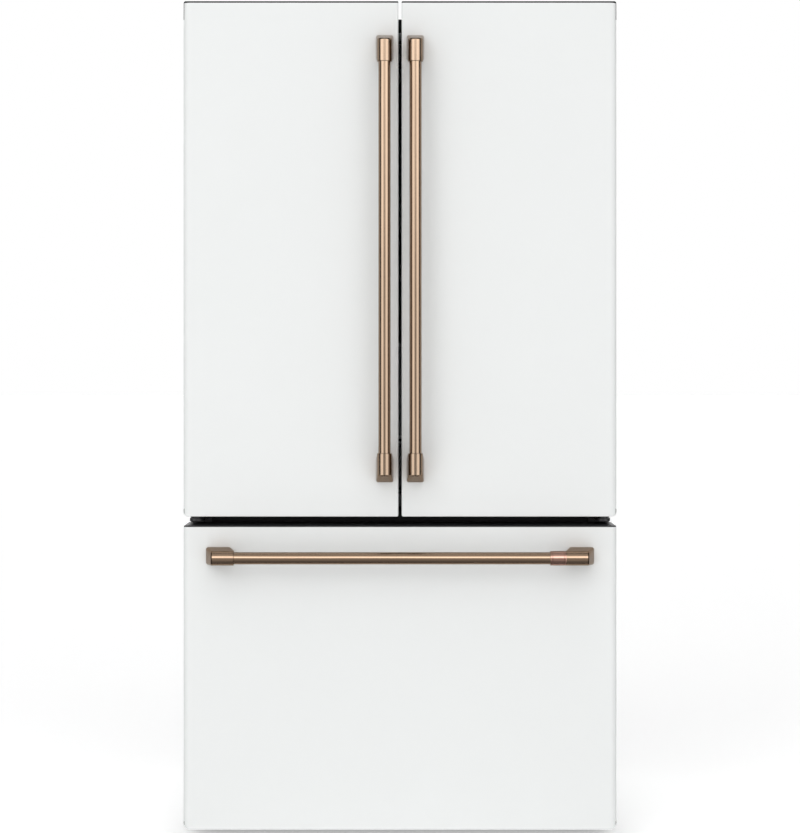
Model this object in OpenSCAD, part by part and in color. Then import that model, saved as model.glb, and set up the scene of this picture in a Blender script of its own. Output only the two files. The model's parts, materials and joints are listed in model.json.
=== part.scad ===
// French door refrigerator with a bottom freezer drawer, counter depth.
// Millimetres. +Z is up and the doors face -Y. The origin is on the floor,
// under the centre of the whole object's box.

/* [Overall] */
// Width across the doors
overall_w = 908; // [880:1:930]
// Depth from the handles' fronts to the back of the case
overall_d = 794; // [780:1:830]
// Height to the top of the doors
overall_h = 1765; // [1740:1:1800]
// Height of the steel case
case_h = 1748; // [1746:1:1750]
// Width of the steel case
case_w = 902; // [880:1:904]

/* [Doors and drawer front] */
// Thickness of a door, from its skin to its inner liner
door_t = 95; // [90:1:98]
// Clear gap between the two doors
door_gap = 7; // [6:0.5:10]
// Clear gap between the doors and the drawer front
drawer_gap = 19; // [18:0.5:22]
// Height of the drawer front's lower edge
drawer_z = 32; // [28:1:36]
// Height of the drawer front
drawer_h = 636; // [634:1:637]
// Radius of the outer upright edges
edge_r = 12; // [8:1:16]
// Radius of the upright edges beside the gap
gap_edge_r = 3.5; // [2:0.5:6]
// Thickness of the folded steel skin
skin_t = 1; // [0.8:0.1:1.2]
// Part of the end caps that shows past the skin
cap_show = 2.8; // [2:0.1:4]
// Height of a door's upper end cap
top_cap_h = 40; // [36:1:44]
// Height of the other end caps
low_cap_h = 30; // [28:1:36]
// Gap between a door's liner and the front of the case
seal_gap = 16; // [15:0.5:18]

/* [Handles] */
// Distance from the door skin to the front of a handle
handle_reach = 63.5; // [60:0.5:70]
// Diameter of a handle's bar
bar_d = 25; // [20:1:28]
// Diameter of a post's sleeve
sleeve_d = 30; // [29:1:34]
// Length of a post's sleeve
sleeve_l = 46; // [40:1:50]
// Width of a post's base
post_w = 36.6; // [34:0.2:40]
// Length of a post's base
post_l = 52.9; // [50:0.1:56]
// Distance that the sleeve reaches past the base at its inner end
post_lean = 9.6; // [6:0.1:12]
// Distance from the middle of the object to a door handle's axis
handle_x = 32; // [30:1:40]
// Height of the lower end of the door handles
handle_z = 759; // [750:1:780]
// Length of the door handles
handle_l = 934; // [900:1:950]
// Length of the drawer handle
drawer_handle_l = 810.8; // [780:0.2:820]
// Height of the drawer handle's axis
drawer_handle_z = 605; // [580:1:620]
// Length of the collar on the drawer handle's right end
collar_l = 33; // [28:1:40]

/* [Hinges] */
// Distance of the hinge pins from the outer side of the door
pin_side = 24; // [22:1:26]
// Distance of the hinge pins behind the door skin
pin_back = 50; // [48:1:52]
// Radius of the hinge pins
pin_r = 5; // [4:0.5:6]
// Clearance round a pin
pin_fit = 0.05; // [0.02:0.01:0.08]
// Half the width of a hinge arm
arm_half = 15; // [13:1:16]

/* [Inside] */
// Thickness of the plastic liners
liner_t = 2; // [1.5:0.1:2.5]
// Half the width inside the fresh food space
fresh_half = 400; // [398:1:402]
// Floor of the fresh food space
fresh_floor = 716; // [714:1:718]
// Ceiling of the fresh food space
fresh_top = 1692; // [1690:1:1694]
// Half the width inside the freezer
freezer_half = 386; // [384:1:388]
// Floor of the freezer
freezer_floor = 108; // [106:1:110]
// Ceiling of the freezer
freezer_top = 640; // [638:1:641]
// Back wall of both spaces
inner_back = 337; // [335:1:339]
// Heights of the half-width shelves
shelf_z = [1215, 1385, 1550];
// Wall thickness of the drawers and bins
tub_t = 2.5; // [2:0.5:3]

/* [Hidden] */
$fn = 64;
HULL_FN = 32;

// Colours
WHITE = [0.93, 0.93, 0.92];
INNER_WHITE = [0.96, 0.96, 0.96];
CAP_GREY = [0.25, 0.26, 0.27];
DARK = [0.1, 0.1, 0.11];
BRONZE = [0.62, 0.46, 0.34];
STEEL = [0.72, 0.73, 0.74];
FOAM = [0.9, 0.85, 0.6];
CLEAR = [0.85, 0.92, 0.95, 0.5];
COPPER = [0.72, 0.45, 0.3];

// Main planes, front to back
front_y = -overall_d / 2;
face_y = front_y + handle_reach;
door_back = face_y + door_t;
case_front = door_back + seal_gap;
back_y = overall_d / 2;
bar_y = front_y + sleeve_d / 2;

// Door and drawer outlines
door_in = door_gap / 2;
door_out = overall_w / 2;
drawer_top = drawer_z + drawer_h;
door_z = drawer_top + drawer_gap;
door_top = overall_h;
plate_t = 3;
plate_y = door_back - plate_t;

// Hinge pins, the pocket round the upper arm, and its plates
pin_x = door_out - pin_side;
pin_y = face_y + pin_back;
pocket_z = door_top - 19;
pocket_x = pin_x - 35;
pocket_y = face_y + 10.5;
arm_t = 4;
cover_half = arm_half + 1.5;
bracket_z = drawer_top + 6;
bracket_t = 6;

// Case
sheet = 1.5;
case_x = case_w / 2;
case_low = 36;
flange_w = 26;
slack = 0.4;
foam_front = case_front + liner_t;
foam_back = back_y - sheet;
foam_x = case_x - sheet;
rail_depth = 22.5;

// Freezer step over the machine compartment
step_y = 150;
step_z = 348;
wall_t = 46;
machine_front = step_y + liner_t + wall_t;
machine_top = step_z - liner_t - 44;
base_top = 60;

// Insides of the doors
dike_in = 42;
dike_out = 388;
dike_w = 24;
dike_y = door_back + 48.5;
dike_z = [730, 1680];
bin_y = door_back + 102.5;
bin_h = 100;
bin_z = [760, 1010, 1260];
dairy_z = 1490;
gasket_in = 12;
gasket_out = 428;
gasket_w = 14;
gasket_back = case_front - 0.3;

// Mullion flap, hinged on the left door
flap_axis = [-36, door_back + 30.2];
flap_z = [734, 1674];
flap_w = 63;
flap_t = 12;
flap_off = 2;
barrel_r = 3.8;
flap_pin_r = 2.5;
lug_h = 6;

// Dairy lid axis
lid_y = door_back + 12.5;
lid_z = dairy_z + bin_h + 6;

// Shelves and drawers in the fresh food space
shelf_front = -95;
shelf_back = 310;
deck_z = [843, 1046];
drawer_front = -85;
drawer_back = 300;

// Freezer slides and baskets
slide_y = [-214, 266];
slide_z = [356, 392];
rail_x = freezer_half - 0.3;
rail_t = 5.7;
member_t = 6.5;
member_gap = 0.3;
middle_x = rail_x - rail_t - member_gap;
inner_x = middle_x - member_t - member_gap;
ledge_z = [404, 412];

// Feet and wheels
foot_x = 400;
foot_y = -172;
foot_r = 22;
wheel_x = 392;
wheel_y = 330;
wheel_r = 20;
wheel_w = 24;
axle_r = 4;

// Machine compartment
fan_x = 20;
fan_z = 175;
machine_y = 297;
shaft_r = 3;
cond_fan_r = 62;
evap_fan_z = 580;
evap_fan_r = 46;

// ---------- Helpers ----------

// A box between two corners
module block(lo, hi) {
    translate(lo) cube(hi - lo);
}

// A shape and its mirror image in the middle plane
module both_sides() {
    children();
    mirror([1, 0, 0]) children();
}

// A cylinder along X, Y or Z from a point
module rod_x(p, l, r) {
    translate(p) rotate([0, 90, 0]) cylinder(h = l, r = r);
}
module rod_y(p, l, r) {
    translate(p) rotate([-90, 0, 0]) cylinder(h = l, r = r);
}
module rod_z(p, l, r) {
    translate(p) cylinder(h = l, r = r);
}

// A rectangle with four true round corners
module round_rect(w, d, r) {
    square([w - 2 * r, d], center = true);
    square([w, d - 2 * r], center = true);
    for (sx = [-1, 1], sy = [-1, 1])
        translate([sx * (w / 2 - r), sy * (d / 2 - r)]) circle(r = r);
}

// Plan outline of a door between x0 and x1, with its two front edges rounded
module door_plan(x0, x1, y0, y1, r0, r1) {
    translate([x0, y0 + r0]) square([x1 - r1 - x0, y1 - y0 - r0]);
    translate([x0 + r0, y0]) square([x1 - r1 - x0 - r0, r0 + 0.01]);
    translate([x1 - r1 - 0.01, y0 + r1]) square([r1 + 0.01, y1 - y0 - r1]);
    translate([x0 + r0, y0 + r0]) circle(r = r0);
    translate([x1 - r1, y0 + r1]) circle(r = r1);
}

// The same outline drawn in by the skin's thickness
module inner_plan(x0, x1, y1, r0, r1) {
    door_plan(x0 + skin_t, x1 - skin_t, face_y + skin_t, y1, r0 - skin_t, r1 - skin_t);
}

// A tub that is open at the top
module tub(lo, hi, t) {
    difference() {
        block(lo, hi);
        block(lo + [t, t, t], [hi[0] - t, hi[1] - t, hi[2] + 1]);
    }
}

// A rectangular frame in the XZ plane
module ring_xz(x0, x1, z0, z1, w, y0, y1) {
    difference() {
        block([x0, y0, z0], [x1, y1, z1]);
        block([x0 + w, y0 - 1, z0 + w], [x1 - w, y1 + 1, z1 - w]);
    }
}

// A rectangular frame in the XY plane
module ring_xy(x0, x1, y0, y1, w, z0, z1) {
    difference() {
        block([x0, y0, z0], [x1, y1, z1]);
        block([x0 + w, y0 + w, z0 - 1], [x1 - w, y1 - w, z1 + 1]);
    }
}

// A handle post. Its base stands on y = 0 and its sleeve runs along Z from 0 up
module handle_post() {
    corner_r = 5;
    pad_t = 3;
    axis_y = bar_y - face_y;
    hull($fn = HULL_FN) {
        rod_z([0, axis_y, 0], sleeve_l, sleeve_d / 2);
        for (sx = [-1, 1], z = [post_lean + corner_r, post_lean + post_l - corner_r])
            rod_y([sx * (post_w / 2 - corner_r), -pad_t, z], pad_t, corner_r);
    }
}

// The two posts of a handle whose bar lies along Z, with overall length l
module handle_posts(l) {
    inner = l / 2 - post_lean - post_l;
    translate([0, face_y, inner]) handle_post();
    translate([0, face_y, -inner]) mirror([0, 0, 1]) handle_post();
}

// The bar between two posts
module handle_bar(l) {
    inner = l / 2 - post_lean - post_l;
    rod_z([0, bar_y, -inner], 2 * inner, bar_d / 2);
}

// A fan rotor along X, with a bore for its shaft
module fan_rotor(r, hub_r, w, blades) {
    difference() {
        union() {
            rod_x([0, 0, 0], w, hub_r);
            for (i = [0 : blades - 1])
                rotate([i * 360 / blades, 0, 0])
                    translate([w / 2, 0, 0])
                        rotate([0, 0, 32])
                            block([-1, -r * 0.3, hub_r - 3], [1, r * 0.3, r * 0.93]);
        }
        rod_x([-1, 0, 0], w + 2, shaft_r + pin_fit);
    }
}

// ---------- Case ----------

module outer_case() {
    color(WHITE) {
        both_sides() {
            block([foam_x, case_front, case_low], [case_x, back_y, case_h]);
            block([case_x - flange_w, case_front, case_low],
                  [foam_x, case_front + sheet, case_h]);
        }
        block([-foam_x, case_front, case_h - sheet], [foam_x, back_y, case_h]);
        block([flange_w - case_x, case_front, case_h - 28],
              [case_x - flange_w, case_front + sheet, case_h - sheet]);
    }
}

module back_panel() {
    color(STEEL)
        block([-foam_x, foam_back, machine_top], [foam_x, back_y, case_h - sheet]);
}

// Floor plate with side rails, cross members, and forks for the rear wheels
module base_frame() {
    rail_w = 36;
    rail_low = 38;
    fork_t = 3.5;
    fork_gap = 1.5;
    wheel_in = wheel_x - wheel_w / 2 - fork_gap;
    wheel_out = wheel_x + wheel_w / 2 + fork_gap;
    color(DARK) {
        block([-foam_x, case_front + 7, base_top - 3], [foam_x, foam_back, base_top]);
        both_sides() {
            block([foam_x - rail_w, case_front + 7, rail_low],
                  [foam_x, foam_back, base_top - 3]);
            for (x = [wheel_in - fork_t, wheel_out])
                block([x, wheel_y - 15, 10], [x + fork_t, wheel_y + 15, base_top - 3]);
            rod_x([wheel_in - fork_t, wheel_y, wheel_r], wheel_out - wheel_in + 2 * fork_t,
                  axle_r);
        }
        for (y = [case_front + 7, foam_back - 24])
            block([rail_w - foam_x, y, rail_low], [foam_x - rail_w, y + 24, base_top - 3]);
    }
}

// Foam that fills the walls, as plain slabs
module cabinet_foam() {
    fresh_x = fresh_half + liner_t;
    freezer_x = freezer_half + liner_t;
    fresh_low = fresh_floor - liner_t;
    step_top = step_z - liner_t;
    foam_top = case_h - sheet;
    color(FOAM) {
        both_sides() {
            block([fresh_x, foam_front, freezer_top + liner_t], [foam_x, foam_back, foam_top]);
            block([freezer_x, foam_front, base_top],
                  [foam_x, foam_back, freezer_top + liner_t - slack]);
        }
        block([slack - fresh_x, foam_front, fresh_top + liner_t],
              [fresh_x - slack, foam_back, foam_top]);
        block([slack - fresh_x, inner_back + liner_t, freezer_top + liner_t],
              [fresh_x - slack, foam_back, fresh_top + liner_t - slack]);
        block([slack - fresh_x, case_front + rail_depth + slack, freezer_top + liner_t],
              [fresh_x - slack, inner_back + liner_t - slack, fresh_low]);
        block([slack - freezer_x, inner_back + liner_t, step_top + slack],
              [freezer_x - slack, foam_back, freezer_top + liner_t - slack]);
        block([slack - freezer_x, machine_front + slack, machine_top],
              [freezer_x - slack, foam_back, step_top]);
        block([slack - freezer_x, step_y + liner_t, base_top],
              [freezer_x - slack, machine_front, step_top]);
        block([slack - freezer_x, foam_front, base_top],
              [freezer_x - slack, step_y + liner_t - slack, freezer_floor - liner_t]);
    }
}

module fresh_food_liner() {
    t = liner_t;
    lip_x = case_x - flange_w;
    color(INNER_WHITE)
        difference() {
            union() {
                block([-fresh_half - t, case_front, fresh_floor - t],
                      [fresh_half + t, inner_back + t, fresh_top + t]);
                block([-lip_x, case_front, fresh_floor - t], [lip_x, foam_front, case_h - 28]);
            }
            block([-fresh_half, case_front - 1, fresh_floor],
                  [fresh_half, inner_back, fresh_top]);
        }
}

module freezer_liner() {
    t = liner_t;
    lip_x = case_x - flange_w;
    color(INNER_WHITE)
        difference() {
            union() {
                block([-freezer_half - t, case_front, freezer_floor - t],
                      [freezer_half + t, step_y + t, freezer_top + t]);
                block([-freezer_half - t, step_y, step_z - t],
                      [freezer_half + t, inner_back + t, freezer_top + t]);
                block([-lip_x, case_front, base_top + 2], [lip_x, foam_front, freezer_top + t]);
            }
            block([-freezer_half, case_front - 1, freezer_floor],
                  [freezer_half, step_y, freezer_top]);
            block([-freezer_half, step_y - 1, step_z], [freezer_half, inner_back, freezer_top]);
        }
}

// Bar between the two spaces, with a face plate that meets the liners' lips
module centre_rail() {
    low = freezer_top + liner_t;
    high = fresh_floor - liner_t;
    plate_x = case_x - flange_w;
    bar_x = fresh_half + liner_t - slack;
    color(DARK) {
        block([-plate_x, case_front, low], [plate_x, foam_front, high]);
        block([-bar_x, foam_front, low], [bar_x, case_front + rail_depth, high]);
    }
}

// Upper hinge arms, screwed on the case, each with its pin pointing down
module top_hinges() {
    color(STEEL)
        both_sides() {
            block([pin_x - arm_half, pin_y, case_h], [pin_x + arm_half, -110, case_h + arm_t]);
            block([pin_x - 45, -200, case_h], [pin_x - arm_half, -110, case_h + arm_t]);
            rod_z([pin_x, pin_y, case_h], arm_t, arm_half);
            rod_z([pin_x, pin_y, pocket_z - 19], case_h - pocket_z + 19, pin_r);
        }
}

module hinge_covers() {
    cover_top = overall_h - 1;
    color(CAP_GREY)
        both_sides() {
            block([pin_x - cover_half, pin_y, case_h + arm_t], [pin_x + cover_half, -100, cover_top]);
            block([pin_x - 50, -205, case_h + arm_t], [pin_x - cover_half, -100, cover_top]);
            rod_z([pin_x, pin_y, case_h + arm_t], cover_top - case_h - arm_t, cover_half);
        }
}

// Hinge brackets between the doors and the drawer, each with its pin pointing up
module mid_hinges() {
    top = bracket_z + bracket_t;
    color(DARK)
        both_sides() {
            block([pin_x - arm_half, pin_y, bracket_z], [pin_x + arm_half, case_front, top]);
            rod_z([pin_x, pin_y, bracket_z], bracket_t, arm_half);
            rod_z([pin_x, pin_y, top], door_z - 0.3 - top, 11);
            rod_z([pin_x, pin_y, top], door_z + 19 - top, pin_r);
            block([pin_x - 25, case_front - plate_t, bracket_z - 10],
                  [case_x - 2, case_front, top + 10]);
        }
}

module toe_grille() {
    slots = 28;
    pitch = 30;
    color(DARK)
        difference() {
            block([-445, case_front + 1.6, 14], [445, case_front + 6.6, base_top - 4]);
            for (i = [0 : slots - 1], z = [20, 33, 46])
                translate([(i - (slots - 1) / 2) * pitch, 0, z])
                    block([-12, case_front, 0], [12, case_front + 8, 5]);
        }
}

// Screw feet under the front corners
module leveling_legs() {
    color(DARK)
        both_sides() {
            rod_z([foot_x, foot_y, 0], 9, foot_r);
            rod_z([foot_x, foot_y, 9], 19, 6);
            rod_z([foot_x, foot_y, 28], base_top - 31, 12);
        }
}

module wheel(x) {
    color(DARK)
        difference() {
            rod_x([x - wheel_w / 2, wheel_y, wheel_r], wheel_w, wheel_r);
            rod_x([x - wheel_w / 2 - 1, wheel_y, wheel_r], wheel_w + 2, axle_r + pin_fit);
        }
}

// ---------- Machine compartment ----------

module compressor() {
    can_r = 76;
    can_low = 76;
    can_high = 250;
    dome = 34;
    color(DARK)
        translate([-230, machine_y, 0]) {
            translate([0, 0, (can_low + can_high) / 2])
                rotate_extrude()
                    intersection() {
                        round_rect(2 * can_r, can_high - can_low, dome);
                        translate([0, -200]) square([200, 400]);
                    }
            block([-105, -60, 70], [105, 60, can_low + 2]);
            for (sx = [-1, 1], sy = [-1, 1])
                rod_z([sx * 88, sy * 45, base_top], 10, 11);
            block([can_r - 8, -28, 120], [can_r + 22, 28, 190]);
        }
}

// Finned condenser: upright fins across straight tubes
module condenser_coil() {
    fins = 18;
    pitch = 9;
    x0 = 112;
    color(STEEL)
        union() {
            for (i = [0 : fins - 1])
                block([x0 + i * pitch, 225, 84], [x0 + i * pitch + 1.2, 370, 266]);
            for (y = [250, 297, 344], z = [110, 155, 200, 245])
                rod_x([x0 - 12, y, z], fins * pitch + 24, 5);
            for (y = [225, 358])
                block([x0, y, base_top], [x0 + fins * pitch - 6, y + 12, 85]);
        }
}

// Fan bracket with its round opening, three struts and the motor
module condenser_fan_motor() {
    plate_x = fan_x + 28;
    color(DARK) {
        difference() {
            block([plate_x, machine_y - 78, base_top], [plate_x + 4, machine_y + 78, 270]);
            rod_x([plate_x - 1, machine_y, fan_z], 6, cond_fan_r + 4);
        }
        for (a = [90, 210, 330])
            translate([fan_x, machine_y, fan_z])
                rotate([a, 0, 0])
                    block([-20, -5, 15], [-16, 5, cond_fan_r + 12]);
        for (a = [90, 210, 330])
            translate([fan_x, machine_y, fan_z])
                rotate([a, 0, 0])
                    block([-20, -5, cond_fan_r + 8], [29, 5, cond_fan_r + 12]);
        rod_x([fan_x - 44, machine_y, fan_z], 40, 20);
        rod_x([fan_x - 4, machine_y, fan_z], 30, shaft_r);
    }
}

module condenser_fan() {
    color(STEEL)
        translate([fan_x, machine_y, fan_z]) fan_rotor(cond_fan_r, 18, 22, 5);
}

// Vented cover over the machine compartment, open round the water inlet
module machine_cover() {
    inlet = [322, 105];
    color(STEEL)
        difference() {
            block([-foam_x, foam_back, case_low + 2], [foam_x, back_y, machine_top - 0.5]);
            for (i = [-5 : 5], z = [90 : 16 : 266])
                if (i != 4 || z > 140)
                    block([i * 76 - 28, foam_back - 1, z], [i * 76 + 28, back_y + 1, z + 6]);
            block([inlet[0] - 34, foam_back - 1, inlet[1] - 30],
                  [inlet[0] + 34, back_y + 1, inlet[1] + 30]);
        }
}

// Water inlet valve with its threaded stub at the rear
module water_valve() {
    color(STEEL)
        translate([322, 0, 105]) {
            block([-24, 330, -26], [24, 372, 26]);
            block([-20, 300, base_top - 105], [20, 330, 22]);
            rod_y([0, 372, 0], 22, 5.55);
        }
}

// ---------- Freezer space ----------

module evaporator_coil() {
    fins = 24;
    pitch = 22;
    x0 = -fins * pitch / 2;
    color(STEEL)
        union() {
            for (i = [0 : fins])
                block([x0 + i * pitch, 304, 366], [x0 + i * pitch + 1, 334, 516]);
            for (y = [311, 327], z = [385, 425, 465, 500])
                rod_x([x0 - 10, y, z], fins * pitch + 21, 4);
        }
}

// Cover panel with the fan opening, its grille bars, and the fan's motor behind it
module evaporator_cover() {
    y0 = 285;
    y1 = 289;
    color(INNER_WHITE) {
        difference() {
            block([-freezer_half + 1, y0, step_z + 1], [freezer_half - 1, y1, freezer_top - 1]);
            rod_y([0, y0 - 1, evap_fan_z], 6, evap_fan_r + 4);
            for (i = [-8 : 8])
                block([i * 40 - 14, y0 - 1, 372], [i * 40 + 14, y1 + 1, 378]);
        }
        for (i = [-2 : 2])
            block([-evap_fan_r - 8, y0, evap_fan_z + i * 18 - 1.5],
                  [evap_fan_r + 8, y0 + 2, evap_fan_z + i * 18 + 1.5]);
    }
    color(DARK) {
        rod_y([0, 318, evap_fan_z], inner_back - 318, 17);
        rod_y([0, 298, evap_fan_z], 21, shaft_r);
    }
}

module evaporator_fan() {
    color(DARK)
        translate([0, 296, evap_fan_z]) rotate([0, 0, 90]) fan_rotor(evap_fan_r, 15, 18, 5);
}

module icemaker() {
    color(INNER_WHITE) {
        block([-382, -40, 556], [-262, 210, 606]);
        block([-382, 210, 548], [-262, 262, freezer_top - 2]);
        block([-372, -60, 606], [-272, 210, 612]);
        for (y = [-20, 190])
            block([-340, y, 612], [-304, y + 14, freezer_top - 0.5]);
    }
}

// Fixed members of the drawer slides, and the ledges under the upper basket
module slide_rails() {
    color(STEEL)
        both_sides() {
            block([rail_x - rail_t, slide_y[0], slide_z[0]], [rail_x, slide_y[1], slide_z[1]]);
            block([rail_x - 13.7, -205, ledge_z[0]], [rail_x, 255, ledge_z[1]]);
        }
}

module slide_middles() {
    color(STEEL)
        both_sides()
            block([middle_x - member_t, slide_y[0], slide_z[0] + 3],
                  [middle_x, slide_y[1], slide_z[1] - 3]);
}

// Basket of the drawer, with the inner slide members that carry it
module lower_basket() {
    half = 352;
    top = slide_z[0] + 4;
    color(INNER_WHITE) {
        tub([-half, -212, 120], [half, 138, top], tub_t);
        both_sides() {
            block([half - tub_t, -200, slide_z[0] + 1], [inner_x - member_t, 130, top]);
            block([inner_x - member_t, slide_y[0], slide_z[0] + 1],
                  [inner_x, slide_y[1], slide_z[1] - 5]);
        }
    }
}

module upper_basket() {
    half = 362;
    low = ledge_z[1] + 1;
    color(INNER_WHITE) {
        tub([-half, -205, low], [half, 250, 540], tub_t);
        both_sides() block([half - tub_t, -205, low], [384, 250, low + tub_t]);
    }
}

// ---------- Fresh food space ----------

module shelf_panel(x0, x1, z) {
    block([x0 + 8.2, shelf_front + 8.2, z], [x1 - 8.2, shelf_back - 8.2, z + 4]);
}

module shelf_glass() {
    color(CLEAR) {
        for (z = shelf_z)
            both_sides() shelf_panel(4, 396, z);
        for (z = deck_z)
            shelf_panel(-396, 396, z);
    }
}

// Edge frames of the shelves, the two decks over the drawers, and the crisper divider
module shelf_frames() {
    color(INNER_WHITE) {
        for (z = shelf_z)
            both_sides() ring_xy(4, 396, shelf_front, shelf_back, 8, z - 6, z + 5);
        for (z = deck_z)
            ring_xy(-399, 399, shelf_front, shelf_back, 8, z - 3, z + 5);
        block([-3, shelf_front + 1, deck_z[0] + 5], [3, shelf_back, deck_z[1] - 3]);
    }
}

module air_tower() {
    color(INNER_WHITE)
        difference() {
            translate([0, (inner_back + 318) / 2, 1070])
                linear_extrude(height = 590) round_rect(130, inner_back - 318, 5);
            for (z = [1120 : 90 : 1600])
                block([-40, 317, z], [40, 323, z + 14]);
        }
}

module ceiling_panel() {
    color(INNER_WHITE)
        translate([0, 100, fresh_top - 14])
            linear_extrude(height = 13.8) round_rect(380, 320, 20);
}

// A see-through drawer with a thicker front and a pull lip
module food_drawer(x0, x1, z0, z1) {
    color(CLEAR) {
        tub([x0, drawer_front, z0], [x1, drawer_back, z1], tub_t);
        block([x0, drawer_front - 5, z0], [x1, drawer_front, z1]);
        block([x0 + 40, drawer_front - 13, z1 - 16], [x1 - 40, drawer_front - 5, z1 - 8]);
    }
}

module crisper_right() {
    food_drawer(8, 392, deck_z[0] + 7, deck_z[1] - 10);
}

module crisper_left() {
    mirror([1, 0, 0]) food_drawer(8, 392, deck_z[0] + 7, deck_z[1] - 10);
}

module deli_drawer() {
    food_drawer(-392, 392, fresh_floor + 6, deck_z[0] - 8);
}

// ---------- Doors. Each module draws the right door; the left one is mirrored ----------

// The space round the upper hinge arm, open to the back and the outer side
module hinge_pocket() {
    block([pocket_x, pocket_y, pocket_z], [door_out + 1, door_back + 1, door_top + 1]);
}

module door_skin() {
    color(WHITE)
        difference() {
            translate([0, 0, door_z + cap_show])
                linear_extrude(height = door_top - door_z - 2 * cap_show)
                    difference() {
                        door_plan(door_in, door_out, face_y, plate_y, gap_edge_r, edge_r);
                        inner_plan(door_in, door_out, plate_y + 1, gap_edge_r, edge_r);
                    }
            hinge_pocket();
        }
}

module door_foam() {
    color(FOAM)
        translate([0, 0, door_z + low_cap_h])
            linear_extrude(height = door_top - top_cap_h - door_z - low_cap_h)
                inner_plan(door_in, door_out, plate_y, gap_edge_r, edge_r);
}

// End caps: plain blocks inside the skin, with a thin edge that shows past it
module door_caps() {
    bore_l = 24;
    color(CAP_GREY) {
        difference() {
            union() {
                translate([0, 0, door_top - top_cap_h])
                    linear_extrude(height = top_cap_h)
                        inner_plan(door_in, door_out, door_back, gap_edge_r, edge_r);
                translate([0, 0, door_top - cap_show])
                    linear_extrude(height = cap_show)
                        door_plan(door_in, door_out, face_y, door_back, gap_edge_r, edge_r);
            }
            hinge_pocket();
            rod_z([pin_x, pin_y, pocket_z - bore_l], bore_l + 1, pin_r + pin_fit);
        }
        difference() {
            union() {
                translate([0, 0, door_z])
                    linear_extrude(height = low_cap_h)
                        inner_plan(door_in, door_out, door_back, gap_edge_r, edge_r);
                translate([0, 0, door_z])
                    linear_extrude(height = cap_show)
                        door_plan(door_in, door_out, face_y, door_back, gap_edge_r, edge_r);
            }
            rod_z([pin_x, pin_y, door_z - 1], bore_l + 1, pin_r + pin_fit);
        }
    }
}

// Liner plate with the raised frame that the bins hang in
module door_liner() {
    block([door_in, plate_y, door_z + low_cap_h],
          [door_out, door_back, door_top - top_cap_h]);
    ring_xz(dike_in, dike_out, dike_z[0], dike_z[1], dike_w, door_back, dike_y);
}

// Magnetic gasket
module door_gasket() {
    color(CAP_GREY)
        ring_xz(gasket_in, gasket_out, door_z + 7, door_top - 51, gasket_w, door_back,
                gasket_back);
}

module door_bin(z) {
    edge = dike_w + 2;
    tub([dike_in + edge, door_back + 2.5, z], [dike_out - edge, bin_y, z + bin_h], tub_t);
}

module door_handle_bar() {
    color(BRONZE)
        translate([handle_x, 0, handle_z + handle_l / 2]) handle_bar(handle_l);
}

module door_handle_posts() {
    color(BRONZE)
        translate([handle_x, 0, handle_z + handle_l / 2]) handle_posts(handle_l);
}

module door_right_skin() {
    door_skin();
}

module door_right_foam() {
    door_foam();
}

// The right liner also holds the dairy lid's two pivots
module door_right_liner() {
    color(INNER_WHITE)
        difference() {
            door_liner();
            rod_x([dike_in + dike_w - 6, lid_y, lid_z], dike_out - dike_in - 2 * dike_w + 12,
                  flap_pin_r + pin_fit);
        }
}

module door_right_caps() {
    door_caps();
}

module door_right_gasket() {
    door_gasket();
}

module door_right_bins() {
    color(CLEAR)
        for (z = concat(bin_z, [dairy_z])) door_bin(z);
}

module door_right_handle_bar() {
    door_handle_bar();
}

module door_right_handle_posts() {
    door_handle_posts();
}

// Lid of the dairy bin: a top and a front apron, with a barrel and two pivots
module dairy_lid() {
    x0 = dike_in + dike_w + 2;
    x1 = dike_out - dike_w - 2;
    apron_y = bin_y + 3;
    top = dairy_z + bin_h + 2;
    color(CLEAR) {
        rod_x([x0, lid_y, lid_z], x1 - x0, barrel_r);
        rod_x([x0 - 7, lid_y, lid_z], x1 - x0 + 14, flap_pin_r);
        block([x0, lid_y, top], [x1, apron_y, top + tub_t]);
        block([x0, apron_y - 0.01, top - 55], [x1, apron_y + tub_t, top + tub_t]);
    }
}

module door_left_skin() {
    mirror([1, 0, 0]) door_skin();
}

module door_left_foam() {
    mirror([1, 0, 0]) door_foam();
}

// The left liner also holds the two lugs that the mullion flap turns in
module door_left_liner() {
    lug_x = flap_axis[0] + 5;
    color(INNER_WHITE) {
        mirror([1, 0, 0]) door_liner();
        for (z = [flap_z[0] - lug_h - 1, flap_z[1] + 1])
            difference() {
                block([-dike_in - 1, flap_axis[1] - 5, z], [lug_x, flap_axis[1] + 5, z + lug_h]);
                rod_z([flap_axis[0], flap_axis[1], z - 1], lug_h + 2, flap_pin_r + pin_fit);
            }
    }
}

module door_left_caps() {
    mirror([1, 0, 0]) door_caps();
}

module door_left_gasket() {
    mirror([1, 0, 0]) door_gasket();
}

module door_left_bins() {
    color(CLEAR)
        mirror([1, 0, 0])
            for (z = concat(bin_z, [dairy_z])) door_bin(z);
}

module door_left_handle_bar() {
    mirror([1, 0, 0]) door_handle_bar();
}

module door_left_handle_posts() {
    mirror([1, 0, 0]) door_handle_posts();
}

// Flap that closes the gap between the doors, folded back on the left door
module mullion_flap() {
    color(CAP_GREY)
        translate([flap_axis[0], flap_axis[1], 0]) {
            rod_z([0, 0, flap_z[0]], flap_z[1] - flap_z[0], barrel_r);
            block([flap_off, 0, flap_z[0]], [flap_off + flap_t, flap_w, flap_z[1]]);
            rod_z([0, 0, flap_z[0] - lug_h], flap_z[1] - flap_z[0] + 2 * lug_h, flap_pin_r);
        }
}

// ---------- Freezer drawer front ----------

module drawer_plan() {
    door_plan(-door_out, door_out, face_y, plate_y, edge_r, edge_r);
}

module drawer_inner(y1) {
    inner_plan(-door_out, door_out, y1, edge_r, edge_r);
}

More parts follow.
